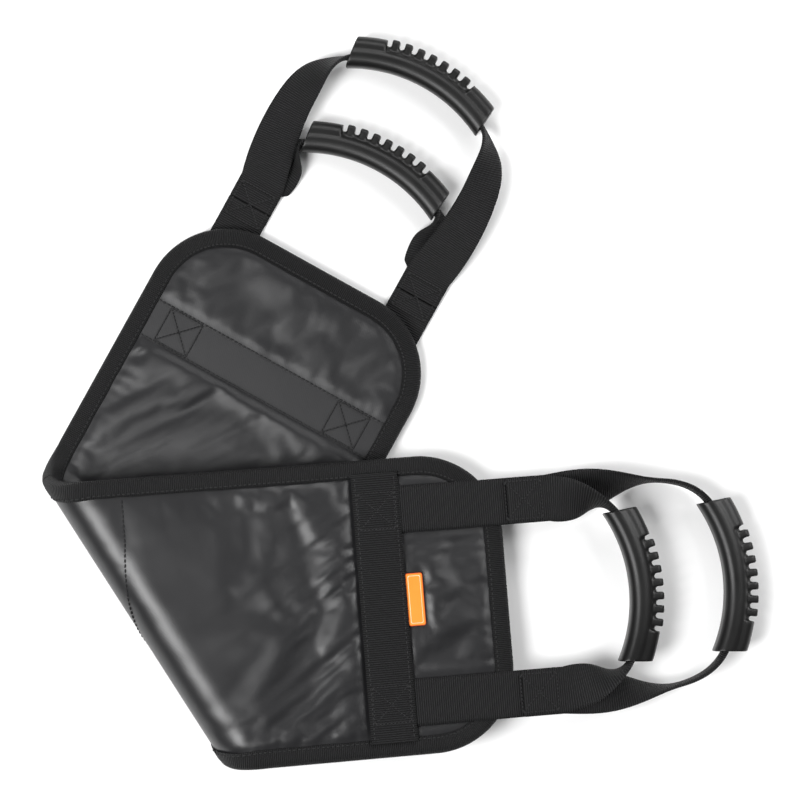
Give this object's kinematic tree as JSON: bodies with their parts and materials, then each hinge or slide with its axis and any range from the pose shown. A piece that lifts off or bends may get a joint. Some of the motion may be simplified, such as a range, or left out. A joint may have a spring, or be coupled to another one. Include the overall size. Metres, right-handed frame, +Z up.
{
  "type": "padded gait belt",
  "caption": "Padded transfer sling strip folded once, with curved grips on webbing loops at both ends, for steadying and moving a person.",
  "frame": {"origin": "middle of the underside of the cross band on the lower half, on the surface the belt rests on", "axes": "+Z up, +X to the right and +Y away, seen from above with the upper half's loops pointing right"},
  "size_m": [0.494, 0.5037, 0.0529],
  "materials": {
    "foam": "closed-cell foam",
    "shell": "satin nylon",
    "lining": "satin nylon lining",
    "binding": "ribbed grosgrain",
    "webbing": "ribbed nylon webbing",
    "stitching": "bonded thread",
    "grip": "satin moulded rubber",
    "label": "moulded rubber, blank"
  },
  "bodies": {
    "back_half": {"foam_core_back": "foam", "outer_shell_back": "shell", "inner_lining_back": "lining", "edge_binding_back": "binding", "cross_band_back": "webbing", "strap_tails_back": "webbing"},
    "bend": {"foam_core_bend": "foam", "outer_shell_bend": "shell", "inner_lining_bend": "lining", "edge_binding_bend": "binding"},
    "front_half": {"foam_core_front": "foam", "outer_shell_front": "shell", "inner_lining_front": "lining", "edge_binding_front": "binding", "cross_band_front": "webbing", "strap_tails_front": "webbing", "label_tab": "label"},
    "front_long_loop": {"front_long_strap": "webbing", "front_outer_grip": "grip", "front_short_strap_ends": "webbing"},
    "front_short_loop": {"front_short_strap": "webbing", "front_inner_grip": "grip"},
    "back_short_loop": {"back_short_strap": "webbing", "back_inner_grip": "grip", "back_long_strap_ends": "webbing"},
    "back_long_loop": {"back_long_strap": "webbing", "back_outer_grip": "grip"}
  },
  "joints": [
    {"name": "fold_lower", "type": "hinge", "parent": "back_half", "child": "bend", "pos_m": [-0.08498, -0.1599, 0.01031], "axis": [0.5402, -0.8415, 0], "range_deg": [0, 93.75]},
    {"name": "fold_upper", "type": "hinge", "parent": "bend", "child": "front_half", "pos_m": [-0.08297, -0.15862, 0.04673], "axis": [0.5402, -0.8415, 0], "range_deg": [0, 93.75]},
    {"name": "front_loops_lift", "type": "hinge", "parent": "front_half", "child": "front_long_loop", "pos_m": [0.16986, -0.1501, 0.02629], "axis": [0.0801, -0.9949, 0.0619], "range_deg": [0, 130]},
    {"name": "front_inner_loop_lift", "type": "hinge", "parent": "front_long_loop", "child": "front_short_loop", "pos_m": [0.2018, -0.14755, 0.026], "axis": [0.0801, -0.9949, 0.0619], "range_deg": [0, 40]},
    {"name": "back_loops_lift", "type": "hinge", "parent": "back_half", "child": "back_short_loop", "pos_m": [0.04315, 0.07784, 0.00237], "axis": [0.8746, -0.4848, 0], "range_deg": [0, 95]},
    {"name": "back_outer_loop_lift", "type": "hinge", "parent": "back_short_loop", "child": "back_long_loop", "pos_m": [0.05718, 0.10316, 0.00399], "axis": [0.8746, -0.4848, 0], "range_deg": [0, 60]}
  ],
  "couplings": [
    {"joint": "fold_upper", "follows": "fold_lower", "ratio": 1}
  ]
}
